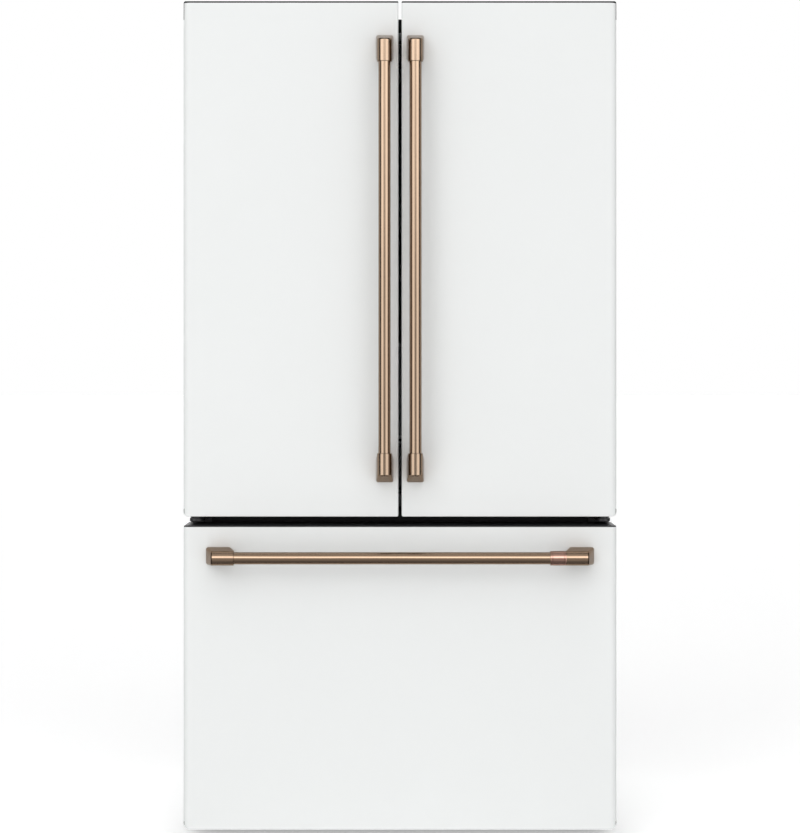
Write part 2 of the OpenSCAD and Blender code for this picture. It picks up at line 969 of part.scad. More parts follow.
module freezer_skin() {
    color(WHITE)
        translate([0, 0, drawer_z + cap_show])
            linear_extrude(height = drawer_h - 2 * cap_show)
                difference() {
                    drawer_plan();
                    drawer_inner(plate_y + 1);
                }
}

module freezer_foam() {
    color(FOAM)
        translate([0, 0, drawer_z + low_cap_h])
            linear_extrude(height = drawer_h - 2 * low_cap_h) drawer_inner(plate_y);
}

module freezer_caps() {
    color(CAP_GREY)
        for (end = [0, 1]) {
            translate([0, 0, drawer_z + end * (drawer_h - low_cap_h)])
                linear_extrude(height = low_cap_h) drawer_inner(door_back);
            translate([0, 0, drawer_z + end * (drawer_h - cap_show)])
                linear_extrude(height = cap_show)
                    door_plan(-door_out, door_out, face_y, door_back, edge_r, edge_r);
        }
}

// Liner plate, its raised frame, and the brackets that meet the inner slide members
module freezer_door_liner() {
    color(INNER_WHITE) {
        block([-door_out, plate_y, drawer_z + low_cap_h],
              [door_out, door_back, drawer_top - low_cap_h]);
        ring_xz(-345, 345, 140, 610, dike_w, door_back, door_back + 22);
        both_sides()
            block([inner_x - member_t, door_back, slide_z[0] - 4],
                  [inner_x, slide_y[0], slide_z[1] + 6]);
    }
}

module freezer_gasket() {
    color(CAP_GREY)
        ring_xz(-416, 416, 74, 658, gasket_w, door_back, gasket_back);
}

module freezer_handle_bar() {
    color(BRONZE)
        translate([0, 0, drawer_handle_z]) rotate([0, 90, 0]) handle_bar(drawer_handle_l);
}

// Posts of the drawer handle, and the copper collar beside the right one
module freezer_handle_posts() {
    inner = drawer_handle_l / 2 - post_lean - post_l;
    color(BRONZE)
        translate([0, 0, drawer_handle_z]) rotate([0, 90, 0]) handle_posts(drawer_handle_l);
    color(COPPER)
        difference() {
            rod_x([inner - collar_l, bar_y, drawer_handle_z], collar_l, sleeve_d / 2);
            rod_x([inner - collar_l - 1, bar_y, drawer_handle_z], collar_l + 2,
                  bar_d / 2 + pin_fit);
        }
}

outer_case();
back_panel();
base_frame();
cabinet_foam();
fresh_food_liner();
freezer_liner();
centre_rail();
top_hinges();
hinge_covers();
mid_hinges();
toe_grille();
leveling_legs();
compressor();
condenser_coil();
condenser_fan_motor();
machine_cover();
water_valve();
evaporator_coil();
evaporator_cover();
air_tower();
shelf_glass();
shelf_frames();
ceiling_panel();
icemaker();
slide_rails();
wheel(-wheel_x);  // wheel_left
wheel(wheel_x);  // wheel_right
condenser_fan();
evaporator_fan();
crisper_left();
crisper_right();
deli_drawer();
door_left_skin();
door_left_foam();
door_left_liner();
door_left_caps();
door_left_gasket();
door_left_bins();
door_left_handle_bar();
door_left_handle_posts();
mullion_flap();
door_right_skin();
door_right_foam();
door_right_liner();
door_right_caps();
door_right_gasket();
door_right_bins();
door_right_handle_bar();
door_right_handle_posts();
dairy_lid();
freezer_skin();
freezer_foam();
freezer_door_liner();
freezer_caps();
freezer_gasket();
freezer_handle_bar();
freezer_handle_posts();
lower_basket();
upper_basket();
slide_middles();
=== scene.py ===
"""Looks of a french door refrigerator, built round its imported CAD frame. Units are metres."""
import json
import math

import bmesh
import bpy
from mathutils import Matrix, Vector


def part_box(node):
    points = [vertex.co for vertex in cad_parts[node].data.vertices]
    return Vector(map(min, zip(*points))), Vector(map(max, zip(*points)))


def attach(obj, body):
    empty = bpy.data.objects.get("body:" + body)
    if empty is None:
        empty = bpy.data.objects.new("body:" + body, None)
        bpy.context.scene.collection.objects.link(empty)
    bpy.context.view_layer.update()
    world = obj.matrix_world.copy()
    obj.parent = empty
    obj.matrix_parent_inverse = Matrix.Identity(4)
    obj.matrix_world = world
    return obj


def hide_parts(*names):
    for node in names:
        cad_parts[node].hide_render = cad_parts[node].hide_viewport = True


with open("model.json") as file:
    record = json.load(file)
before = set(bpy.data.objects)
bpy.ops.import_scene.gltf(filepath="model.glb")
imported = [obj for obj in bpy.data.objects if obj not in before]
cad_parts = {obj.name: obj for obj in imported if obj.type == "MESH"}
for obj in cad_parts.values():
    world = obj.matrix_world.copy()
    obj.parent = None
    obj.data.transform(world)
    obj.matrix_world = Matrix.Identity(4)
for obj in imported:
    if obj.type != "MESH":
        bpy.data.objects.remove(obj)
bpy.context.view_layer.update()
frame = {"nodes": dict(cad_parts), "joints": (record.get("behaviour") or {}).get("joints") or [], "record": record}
CAD = frame["nodes"]


# ---------- Places, all read from the frame ----------

def lo(node):
    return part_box(node)[0]


def hi(node):
    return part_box(node)[1]


FACE_Y = lo("door_left_skin").y
PLATE_Y = hi("door_left_skin").y
DOOR_BACK = hi("door_left_caps").y
CASE_FRONT = lo("outer_case").y
HALF_W = hi("door_right_skin").x
GAP_X = lo("door_right_skin").x
DOOR_LOW = lo("door_left_caps").z
DOOR_TOP = hi("door_left_caps").z
DRAWER_LOW = lo("freezer_caps").z
DRAWER_TOP = hi("freezer_caps").z
CAP_SHOW = DOOR_TOP - hi("door_left_skin").z


# ---------- Materials ----------

def node_tree(name):
    mat = bpy.data.materials.new(name)
    mat.use_nodes = True
    return mat, mat.node_tree.nodes, mat.node_tree.links


def noise_node(nodes, links, stretch, scale, detail=4.0):
    """The 0 to 1 output of a noise in the object's own space."""
    coords = nodes.new("ShaderNodeTexCoord")
    mapping = nodes.new("ShaderNodeMapping")
    mapping.inputs["Scale"].default_value = stretch
    noise = nodes.new("ShaderNodeTexNoise")
    noise.inputs["Scale"].default_value = scale
    noise.inputs["Detail"].default_value = detail
    links.new(coords.outputs["Object"], mapping.inputs["Vector"])
    links.new(mapping.outputs["Vector"], noise.inputs["Vector"])
    return noise.outputs["Fac"]


def link_color(nodes, links, source, color, levels, ends=(0, 1)):
    """Drives the base colour between two levels of a colour, by a 0 to 1 source."""
    ramp = nodes.new("ShaderNodeValToRGB")
    for element, place, level in zip(ramp.color_ramp.elements, ends, levels):
        element.position = place
        element.color = [min(c * level, 1) for c in color] + [1]
    links.new(source, ramp.inputs["Fac"])
    links.new(ramp.outputs["Color"], nodes["Principled BSDF"].inputs["Base Color"])


def link_gloss(nodes, links, source, low, high):
    """Drives the roughness between two values, by a 0 to 1 source."""
    gloss = nodes.new("ShaderNodeMapRange")
    gloss.inputs["To Min"].default_value = low
    gloss.inputs["To Max"].default_value = high
    links.new(source, gloss.inputs["Value"])
    links.new(gloss.outputs["Result"], nodes["Principled BSDF"].inputs["Roughness"])


def surface(name, color, rough, metallic=0.0, tint=0.04, spread=0.06, cloud=9.0,
            stretch=(1, 1, 1), grain=900.0, bump=0.12, depth=0.0002, **fixed):
    """A Principled surface with cloudy colour, uneven gloss and a fine grain in its bump."""
    mat, nodes, links = node_tree(name)
    bsdf = nodes["Principled BSDF"]
    bsdf.inputs["Metallic"].default_value = metallic
    for socket, value in fixed.items():
        bsdf.inputs[socket.replace("_", " ")].default_value = value
    clouds = noise_node(nodes, links, stretch, cloud)
    link_color(nodes, links, clouds, color, (1 - tint, 1 + tint), (0.3, 0.7))
    fine = noise_node(nodes, links, stretch, grain, 2.0)
    link_gloss(nodes, links, fine, max(rough - spread, 0.02), min(rough + spread, 1))
    lift = nodes.new("ShaderNodeBump")
    lift.inputs["Strength"].default_value = bump
    lift.inputs["Distance"].default_value = depth
    links.new(fine, lift.inputs["Height"])
    links.new(lift.outputs["Normal"], bsdf.inputs["Normal"])
    return mat


def brushed(name, color, rough, along):
    """Brushed and lacquered plating whose fine lines run along one axis."""
    stretch = [1.0, 1.0, 1.0]
    stretch[along] = 0.012
    return surface(name, color, rough, 1.0, tint=0.10, spread=0.05, cloud=420.0,
                   stretch=stretch, grain=2600.0, bump=0.10, depth=0.00008,
                   Specular_Tint=BRONZE_EDGE, Coat_Weight=0.4, Coat_Roughness=0.12)


def spangled(name, color, rough):
    """Galvanised sheet: crystal patches of slightly different grey."""
    mat, nodes, links = node_tree(name)
    nodes["Principled BSDF"].inputs["Metallic"].default_value = 1.0
    coords = nodes.new("ShaderNodeTexCoord")
    cells = nodes.new("ShaderNodeTexVoronoi")
    cells.inputs["Scale"].default_value = 70.0
    links.new(coords.outputs["Object"], cells.inputs["Vector"])
    link_color(nodes, links, cells.outputs["Color"], color, (0.88, 1.06))
    link_gloss(nodes, links, cells.outputs["Color"], rough - 0.08, rough + 0.08)
    return mat


BRONZE_EDGE = (0.40, 0.30, 0.22, 1)
paint = surface("matte_white_paint", (0.84, 0.855, 0.85), 0.50, tint=0.006, spread=0.05,
                cloud=2.0, grain=1400.0, bump=0.05, depth=0.0001, Specular_IOR_Level=0.2)
bronze_upright = brushed("brushed_bronze_upright", (0.283, 0.201, 0.14), 0.17, 2)
bronze_level = brushed("brushed_bronze_level", (0.284, 0.194, 0.13), 0.17, 0)
copper = brushed("brushed_copper", (0.38, 0.225, 0.175), 0.18, 0)
cap_plastic = surface("cap_plastic", (0.014, 0.015, 0.016), 0.55, grain=1800.0,
                      Specular_IOR_Level=0.3)
guide_grey = surface("guide_grey", (0.30, 0.31, 0.31), 0.5, grain=1600.0)
dark_plastic = surface("dark_plastic", (0.012, 0.012, 0.013), 0.6, grain=1600.0,
                       Specular_IOR_Level=0.25)
dark_steel = surface("dark_steel", (0.02, 0.02, 0.022), 0.42, grain=700.0)
inner_white = surface("inner_white", (0.82, 0.84, 0.84), 0.32, tint=0.01, grain=1100.0, bump=0.06)
seal_rubber = surface("seal_rubber", (0.10, 0.102, 0.105), 0.65, grain=1500.0)
foam = surface("foam", (0.78, 0.68, 0.36), 0.9, tint=0.12, cloud=40.0, grain=260.0, bump=0.5,
               depth=0.001)
fin_metal = surface("fin_metal", (0.68, 0.69, 0.70), 0.34, 1.0, grain=500.0)
tube_copper = surface("tube_copper", (0.72, 0.38, 0.24), 0.3, 1.0, tint=0.12, grain=500.0)
brass = surface("brass", (0.68, 0.50, 0.22), 0.3, 1.0, tint=0.08, grain=700.0)
zinc = spangled("galvanised", (0.62, 0.63, 0.65), 0.36)
clear_bin = surface("clear_bin", (0.80, 0.86, 0.89), 0.12, tint=0.02, spread=0.03, grain=300.0,
                    bump=0.03, Alpha=0.38)
frosted = surface("frosted_bin", (0.84, 0.88, 0.90), 0.38, tint=0.02, grain=900.0, Alpha=0.82)
glass = surface("shelf_glass", (0.72, 0.88, 0.84), 0.05, tint=0.02, spread=0.02, grain=200.0,
                bump=0.01, Alpha=0.30)
light_lens = surface("light_lens", (0.93, 0.93, 0.90), 0.4, tint=0.01, grain=700.0)


# ---------- Mesh building ----------

def piece(name, bm, body, mat, replaced=(), sharp=32):
    """Turns a bmesh into a shown piece that rides on a body. Edges over sharp degrees stay sharp,
    and the flat faces keep flat shading up to their bevels."""
    obj = as_object(bm, name)
    obj.data.materials.append(mat)
    for polygon in obj.data.polygons:
        polygon.use_smooth = True
    obj.data.set_sharp_from_angle(angle=math.radians(sharp))
    obj.modifiers.new("flat_faces", "WEIGHTED_NORMAL").keep_sharp = True
    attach(obj, body)
    if replaced:
        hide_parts(*replaced)


def join(bm, a, b, closed=True):
    """Quads between two rows of vertices."""
    count = len(a)
    for j in range(count if closed else count - 1):
        k = (j + 1) % count
        bm.faces.new((a[j], a[k], b[k], b[j]))


def ring_faces(bm, rings, close_profile=False, close_path=True, cap_first=False, cap_last=False):
    """Quads between rings of equal length; rings are lists of points."""
    rows = [[bm.verts.new(p) for p in ring] for ring in rings]
    steps = len(rows) if close_profile else len(rows) - 1
    for i in range(steps):
        join(bm, rows[i], rows[(i + 1) % len(rows)], close_path)
    if cap_first:
        bm.faces.new(rows[0])
    if cap_last:
        bm.faces.new(rows[-1])
    if close_profile and not close_path:
        bm.faces.new([row[0] for row in rows])
        bm.faces.new([row[-1] for row in rows])
    return rows


def rounded(a0, a1, b0, b1, radii, steps=6):
    """A rounded rectangle as (a, b, normal a, normal b), counter-clockwise from the low corner.
    radii are those of the corners (a0 b0), (a1 b0), (a1 b1), (a0 b1)."""
    if not isinstance(radii, (tuple, list)):
        radii = [radii] * 4
    centres = [(a0, b0, 1, 1, 180), (a1, b0, -1, 1, 270), (a1, b1, -1, -1, 0), (a0, b1, 1, -1, 90)]
    points = []
    for (a, b, sa, sb, start), radius in zip(centres, radii):
        r = max(radius, 1e-5)
        for k in range(steps + 1):
            angle = math.radians(start + 90 * k / steps)
            na, nb = math.cos(angle), math.sin(angle)
            points.append((a + sa * r + r * na, b + sb * r + r * nb, na, nb))
    return points


def edge_rings(rect, corners, edges, y_face, y_back, inset=0.0, steps=7):
    """Rings of a slab that faces -Y, from its back to its front. rect is (x0, x1, z0, z1), edges
    are the front edges' radii (left, right, low, high), and corners those of the outline."""
    x0, x1, z0, z1 = rect
    e = [max(r - inset, 0.0002) for r in edges]
    c = [max(r - inset, 0.0004) for r in corners]
    face = y_face + inset

    def ring(turn, y_fixed=None):
        d = [r * (1 - math.cos(turn)) for r in e]
        shrink = turn / (math.pi / 2)
        radii = [r * (1 - shrink) + max(r - 0.004, 0.0004) * shrink for r in c]
        out = []
        for x, z, nx, nz in rounded(x0 + inset + d[0], x1 - inset - d[1], z0 + inset + d[2],
                                    z1 - inset - d[3], radii):
            side = e[1] if nx > 0 else e[0]
            end = e[3] if nz > 0 else e[2]
            r = side * nx * nx + end * nz * nz
            y = face + r * (1 - math.sin(turn)) if y_fixed is None else y_fixed
            out.append((x, y, z))
        return out

    rings = [ring(0, y_back)]
    rings += [ring(math.pi / 2 * k / steps) for k in range(steps + 1)]
    return rings


def slab_shell(bm, rect, corners, edges, y_face, y_back, t):
    """A folded sheet panel: open at the back, of thickness t."""
    outer = edge_rings(rect, corners, edges, y_face, y_back)
    inner = edge_rings(rect, corners, edges, y_face, y_back, inset=t)
    rows = ring_faces(bm, outer, cap_last=True)
    join(bm, rows[0], ring_faces(bm, inner, cap_last=True)[0])


def slab_solid(bm, rect, corners, edges, y_face, y_back, inset=0.0):
    ring_faces(bm, edge_rings(rect, corners, edges, y_face, y_back, inset), cap_first=True,
               cap_last=True)


def bevel(bm, edges, r, segments):
    bmesh.ops.bevel(bm, geom=edges, offset=r, segments=segments, profile=0.5, affect="EDGES",
                    clamp_overlap=True)


def round_box(bm, low, high, r=0.002, segments=3):
    """A box with all its edges rounded, between two opposite corners."""
    low, high = Vector(map(min, low, high)), Vector(map(max, low, high))
    new = bmesh.ops.create_cube(bm, size=1.0)["verts"]
    size, centre = high - low, (low + high) / 2
    for v in new:
        v.co = Vector([centre[i] + v.co[i] * size[i] for i in range(3)])
    edges = list({e for v in new for e in v.link_edges})
    bevel(bm, edges, min(r, 0.49 * min(size)), segments)


AXIS_TURNS = {
    "x": Matrix(((0, 0, 1), (1, 0, 0), (0, 1, 0))),
    "y": Matrix(((0, 1, 0), (0, 0, 1), (1, 0, 0))),
    "z": Matrix.Identity(3),
}


def lathe(bm, profile, centre, axis="z", sides=64):
    """Revolves (radius, distance along the axis) points. A radius of 0 closes an end."""
    turn = AXIS_TURNS[axis]
    centre = Vector(centre)
    rows = []
    for r, along in profile:
        angles = [2 * math.pi * i / sides for i in range(sides if r else 1)]
        rows.append([bm.verts.new(centre + turn @ Vector((
            r * math.cos(a), r * math.sin(a), along))) for a in angles])
    for a, b in zip(rows, rows[1:]):
        for i in range(sides):
            j = (i + 1) % sides
            corners = [a[i % len(a)], a[j % len(a)], b[j % len(b)], b[i % len(b)]]
            unique = list(dict.fromkeys(corners))
            if len(unique) > 2:
                bm.faces.new(unique)


def tube(bm, points, r, sides=16):
    """A round tube through points, with its ends closed."""
    points = [Vector(p) for p in points]
    up = None
    rings = []
    for i, p in enumerate(points):
        ahead = points[min(i + 1, len(points) - 1)] - points[max(i - 1, 0)]
        ahead.normalize()
        if up is None:
            up = ahead.orthogonal().normalized()
        up = (up - ahead * up.dot(ahead)).normalized()
        side = ahead.cross(up)
        rings.append([p + (up * math.cos(a) + side * math.sin(a)) * r
                      for a in [2 * math.pi * k / sides for k in range(sides)]])
    ring_faces(bm, rings, cap_first=True, cap_last=True)


def bend(centre, r, start, end, plane, steps=8):
    """Points of an arc in a plane given by two axis letters, angles in degrees."""
    index = ["xyz".index(letter) for letter in plane]
    points = []
    for k in range(steps + 1):
        angle = math.radians(start + (end - start) * k / steps)
        p = Vector(centre)
        p[index[0]] += r * math.cos(angle)
        p[index[1]] += r * math.sin(angle)
        points.append(p)
    return points


def quarter(steps):
    """(1 - sin, 1 - cos) of the angles of a quarter turn."""
    turns = [math.pi / 2 * k / steps for k in range(steps + 1)]
    return [(1 - math.sin(turn), 1 - math.cos(turn)) for turn in turns]


def tub(bm, low, high, wall, corner, foot, draft, lip, lip_h, steps=5):
    """An open tub with drafted walls, a round foot and an outward lip, inside a given box."""
    def level(inset, z):
        r = max(corner - inset, 0.001)
        return [(a, b, z) for a, b, _, _ in
                rounded(low[0] + inset, high[0] - inset, low[1] + inset, high[1] - inset, r, steps)]
    base = lip + draft
    rings = [level(base + foot * s, low[2] + foot * c) for s, c in quarter(4)]
    edge = min(0.0008, lip / 3)
    rings += [level(lip, high[2] - lip_h), level(edge, high[2] - lip_h),
              level(0, high[2] - lip_h + edge), level(0, high[2] - edge),
              level(edge, high[2]), level(lip + wall - edge, high[2]),
              level(lip + wall, high[2] - edge)]
    inner = max(foot - wall, 0.001)
    rings += [level(base + wall + inner * s, low[2] + wall + inner * c)
              for s, c in reversed(quarter(4))]
    ring_faces(bm, rings, cap_first=True, cap_last=True)


def frame_sweep(bm, rect, corner, profile, plane):
    """A closed frame: profile is a loop of (inset, depth). plane "xz" has depth along Y, and
    "xy" along Z."""
    a0, a1, b0, b1 = rect
    rings = []
    for inset, depth in profile:
        r = max(corner - inset, 0.0004)
        ring = []
        for a, b, _, _ in rounded(a0 + inset, a1 - inset, b0 + inset, b1 - inset, r, 5):
            ring.append((a, depth, b) if plane == "xz" else (a, b, depth))
        rings.append(ring)
    ring_faces(bm, rings, close_profile=True)


def soft_profile(width, d0, d1, r):
    """A rounded rectangular profile, for frame_sweep."""
    return [(a, b) for a, b, _, _ in rounded(0, width, d0, d1, r, 3)]


# ---------- Working from CAD nodes ----------

def cad_copy(node):
    """A welded copy of a node's mesh, with its flat faces joined up again."""
    bm = bmesh.new()
    bm.from_mesh(CAD[node].data)
    bmesh.ops.remove_doubles(bm, verts=bm.verts, dist=2e-6)
    bmesh.ops.dissolve_limit(bm, angle_limit=math.radians(1.5), verts=bm.verts, edges=bm.edges)
    return bm


def hard_edges(bm, degrees):
    return [e for e in bm.edges
            if len(e.link_faces) == 2 and e.calc_face_angle(0) > math.radians(degrees)]


def refined(node, mat, r=0.0008):
    """The node's own shape with its sharp edges rounded, in place of the node."""
    bm = cad_copy(node)
    bevel(bm, hard_edges(bm, 28), r, 2)
    bmesh.ops.remove_doubles(bm, verts=bm.verts, dist=1e-6)
    piece(node + "_finish", bm, body_of(node), mat, (node,))


def body_of(node):
    return next(b for b, nodes in frame["record"]["behaviour"]["bodies"].items() if node in nodes)


def as_object(bm, name="scratch"):
    """Links a bmesh into the scene as a mesh object, and frees it."""
    bmesh.ops.recalc_face_normals(bm, faces=bm.faces)
    mesh = bpy.data.meshes.new(name)
    bm.to_mesh(mesh)
    bm.free()
    obj = bpy.data.objects.new(name, mesh)
    bpy.context.scene.collection.objects.link(obj)
    return obj


def combine(bm, tools):
    """The bmesh after each (operation, tool bmesh) boolean, as a new bmesh."""
    base = as_object(bm)
    for operation, tool_bm in tools:
        tool = as_object(tool_bm)
        modifier = base.modifiers.new("cut", "BOOLEAN")
        modifier.operation = operation
        modifier.solver = "EXACT"
        modifier.object = tool
        graph = bpy.context.evaluated_depsgraph_get()
        mesh = bpy.data.meshes.new_from_object(base.evaluated_get(graph))
        base.modifiers.clear()
        base.data = mesh
        bpy.data.objects.remove(tool)
    out = bmesh.new()
    out.from_mesh(base.data)
    bpy.data.objects.remove(base)
    bmesh.ops.remove_doubles(out, verts=out.verts, dist=1e-6)
    return out


def box_tool(low, high):
    bm = bmesh.new()
    round_box(bm, low, high, 0.00001, 1)
    return bm


# ---------- Doors and drawer front ----------

SKIN_T = 0.001
EDGE_R = 0.014
GAP_R = 0.0035
END_R = 0.002
EAR_X = 0.0022
CAP_RAISE = 0.0008      # how much more of their upper caps the doors show
OVER = 0.01             # by how much a cutting box passes the thing it cuts


def door_shape(side):
    """Outline, corner radii and edge radii of a door. side is -1 for the left one."""
    corners = [0.003, 0.0095, 0.005, 0.002]
    edges = [GAP_R, EDGE_R, END_R, END_R]
    rect = [GAP_X, HALF_W, DOOR_LOW, DOOR_TOP]
    if side < 0:
        rect = [-HALF_W, -GAP_X, DOOR_LOW, DOOR_TOP]
        corners = [corners[1], corners[0], corners[3], corners[2]]
        edges = [EDGE_R, GAP_R, END_R, END_R]
    return rect, corners, edges


def ear_box(side, z0, z1):
    """The place where an end cap wraps round the outer edge of the skin."""
    return ((side * (HALF_W - EAR_X), FACE_Y, z0),
            (side * (HALF_W + 0.002), DOOR_BACK + 0.001, z1))


def add_front(name, body, rect, corners, edges, ears, skin_node, caps_node, show, pocket=None):
    """Skin, dark caps and their ears of a door or of the drawer front. show is how much of the
    upper cap stands above the skin."""
    top = rect[3] - show
    bm = bmesh.new()
    slab_shell(bm, rect, corners, edges, FACE_Y, PLATE_Y, SKIN_T)
    cuts = [box_tool((rect[0] - OVER, FACE_Y - OVER, top),
                     (rect[1] + OVER, DOOR_BACK, rect[3] + OVER))]
    cuts += [box_tool(*ear) for ear in ears]
    if pocket:
        cuts.append(box_tool(*pocket))
    skin = combine(bm, [("DIFFERENCE", cut) for cut in cuts])
    piece(name + "_skin_finish", skin, body, paint, (skin_node,), 24)

    full, inner = bmesh.new(), bmesh.new()
    slab_solid(full, rect, corners, edges, FACE_Y, DOOR_BACK)
    slab_solid(inner, rect, corners, edges, FACE_Y, DOOR_BACK, inset=SKIN_T + 0.00005)
    middle = (rect[2] + rect[3]) / 2
    lower_half = box_tool((-1, -1, middle), (1, 1, 3))
    upper_half = box_tool((-1, -1, -1), (1, 1, middle))
    upper = combine(cad_copy(caps_node), [("DIFFERENCE", upper_half), ("INTERSECT", full)])
    lower = combine(cad_copy(caps_node), [("DIFFERENCE", lower_half), ("INTERSECT", inner)])
    piece(name + "_top_cap", upper, body, cap_plastic, (caps_node,), 28)
    piece(name + "_bottom_cap", lower, body, cap_plastic, (caps_node,), 28)
    for i, (low, high) in enumerate(ears):
        bm = bmesh.new()
        slab_solid(bm, rect, corners, edges, FACE_Y, PLATE_Y)
        tools = [("INTERSECT", box_tool(low, high))]
        if pocket:
            tools.append(("DIFFERENCE", box_tool(*pocket)))
        piece(f"{name}_cap_ear_{i + 1}", combine(bm, tools), body, cap_plastic,
              (), 28)


def hinge_pocket(side):
    """The notch for the upper hinge arm, as the CAD caps have it."""
    return ((side * 0.395, FACE_Y + 0.0105, DOOR_TOP - 0.019),
            (side * (HALF_W + 0.002), DOOR_BACK + 0.001, DOOR_TOP + 0.001))


def add_doors():
    for side, word in ((-1, "left"), (1, "right")):
        rect, corners, edges = door_shape(side)
        ears = [ear_box(side, DOOR_TOP - 0.038, DOOR_TOP - CAP_SHOW),
                ear_box(side, DOOR_LOW + 0.006, DOOR_LOW + 0.016)]
        body = "door_" + word
        add_front(body, body, rect, corners, edges, ears, body + "_skin", body + "_caps",
                  CAP_SHOW + CAP_RAISE, hinge_pocket(side))
        add_gasket(body + "_gasket", body)


def add_drawer_front():
    rect = [-HALF_W, HALF_W, DRAWER_LOW, DRAWER_TOP]
    corners = [0.0135, 0.0135, 0.004, 0.004]
    edges = [EDGE_R, EDGE_R, END_R, END_R]
    ears = [ear_box(side, DRAWER_LOW + 0.008, DRAWER_LOW + 0.016) for side in (-1, 1)]
    add_front("freezer", "freezer_drawer", rect, corners, edges, ears, "freezer_skin",
              "freezer_caps", CAP_SHOW)
    add_gasket("freezer_gasket", "freezer_drawer")


def add_gasket(node, body):
    """A bellows seal with a flat magnet face."""
    low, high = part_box(node)
    depth = high.y - low.y
    profile = [(0.003, 0), (0.011, 0), (0.0115, 0.2), (0.009, 0.36), (0.0115, 0.52),
               (0.0125, 0.7), (0.0135, 0.8), (0.0135, 0.97), (0.0125, 1), (0.0015, 1),
               (0.0005, 0.97), (0.0005, 0.8), (0.0025, 0.7), (0.001, 0.52), (0.004, 0.36),
               (0.0015, 0.2)]
    bm = bmesh.new()
    frame_sweep(bm, (low.x, high.x, low.z, high.z), 0.006,
                [(inset, low.y + reach * depth) for inset, reach in profile], "xz")
    piece(node + "_finish", bm, body, seal_rubber, (node,), 40)


# ---------- Handles ----------

BAR_R = 0.0125
SLEEVE_R = 0.015
SLEEVE_L = 0.046
BASE_W = 0.0366
BASE_L = 0.0529
BASE_START = 0.0096


def post_mesh(bm, place):
    """A post with its sleeve along Z and its base on the plane y = 0, placed by a matrix."""
    axis_y = lo("door_left_handle_posts").y + SLEEVE_R - FACE_Y
    ends = bmesh.new()
    for z in (0, SLEEVE_L):
        for i in range(72):
            a = 2 * math.pi * i / 72
            ends.verts.new((SLEEVE_R * math.cos(a), axis_y + SLEEVE_R * math.sin(a), z))
    for x, z, _, _ in rounded(-BASE_W / 2, BASE_W / 2, BASE_START, BASE_START + BASE_L, 0.005, 8):
        for y in (0, -0.003):
            ends.verts.new((x, y, z))
    hull = bmesh.ops.convex_hull(ends, input=ends.verts)
    inside = [g for g in hull["geom_interior"] if isinstance(g, bmesh.types.BMVert)]
    bmesh.ops.delete(ends, geom=inside, context="VERTS")
    bmesh.ops.dissolve_limit(ends, angle_limit=math.radians(0.6), verts=ends.verts,
                             edges=ends.edges)
    rim = [e for e in ends.edges if all(abs(v.co.z - SLEEVE_L) < 1e-5 and v.co.y < axis_y + 0.002
                                        for v in e.verts)]
    bevel(ends, rim, 0.0019, 1)
    bevel(ends, hard_edges(ends, 42), 0.0006, 3)
    ends.transform(place)
    mesh = bpy.data.meshes.new("post")
    ends.to_mesh(mesh)
    ends.free()
    bm.from_mesh(mesh)


def add_handle(prefix, body, level):
    """A bar between two posts. level is True for the drawer's."""
    finish = bronze_level if level else bronze_upright
    turn = Matrix.Rotation(math.pi / 2, 4, "Y") if level else Matrix.Identity(4)
    low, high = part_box(prefix + "_posts")
    centre = ((low.x + high.x) / 2, FACE_Y, (low.z + high.z) / 2)
    length = high.x - low.x if level else high.z - low.z
    inner = length / 2 - BASE_START - BASE_L
    bm = bmesh.new()
    for flip in (1, -1):
        place = Matrix.Translation(Vector(centre)) @ turn
        place = place @ Matrix.Diagonal((1, 1, flip, 1)) @ Matrix.Translation((0, 0, inner))
        post_mesh(bm, place)
    piece(prefix + "_posts_finish", bm, body, finish, (prefix + "_posts",), 26)
    bar = bmesh.new()
    low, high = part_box(prefix + "_bar")
    middle = (low + high) / 2
    half = (high.x - low.x) / 2 if level else (high.z - low.z) / 2
    profile = [(0, -half), (BAR_R - 0.0006, -half), (BAR_R, -half + 0.0006),
               (BAR_R, half - 0.0006), (BAR_R - 0.0006, half), (0, half)]
    lathe(bar, profile, middle, "x" if level else "z", 96)
    piece(prefix + "_bar_finish", bar, body, finish, (prefix + "_bar",), 30)


def add_handles():
    add_handle("door_left_handle", "door_left", False)
    add_handle("door_right_handle", "door_right", False)
    add_handle("freezer_handle", "freezer_drawer", True)
    add_collar()


def add_collar():
    """The plain copper ring beside the drawer handle's right post."""
    bar_low, bar_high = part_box("freezer_handle_bar")
    length, groove, bore = 0.033, 0.0009, BAR_R + 0.0001
    r = SLEEVE_R
    x1 = bar_high.x
    x0 = x1 - length
    middle = (bar_low + bar_high) / 2
    profile = [(bore, x0), (r - 0.001, x0), (r - 0.0003, x0 + 0.0004), (r, x0 + 0.0012)]
    for x in (x0 + 0.004, x1 - 0.004):
        profile += [(r, x - groove), (r - 0.0005, x - groove / 2), (r - 0.0005, x + groove / 2),
                    (r, x + groove)]
    profile += [(r, x1 - 0.0012), (r - 0.0003, x1 - 0.0004), (r - 0.001, x1), (bore, x1)]
    bm = bmesh.new()
    lathe(bm, profile, (0, middle.y, middle.z), "x", 96)
    piece("freezer_handle_collar", bm, "freezer_drawer", copper,
          ("freezer_handle_posts",), 30)


# ---------- Case ----------

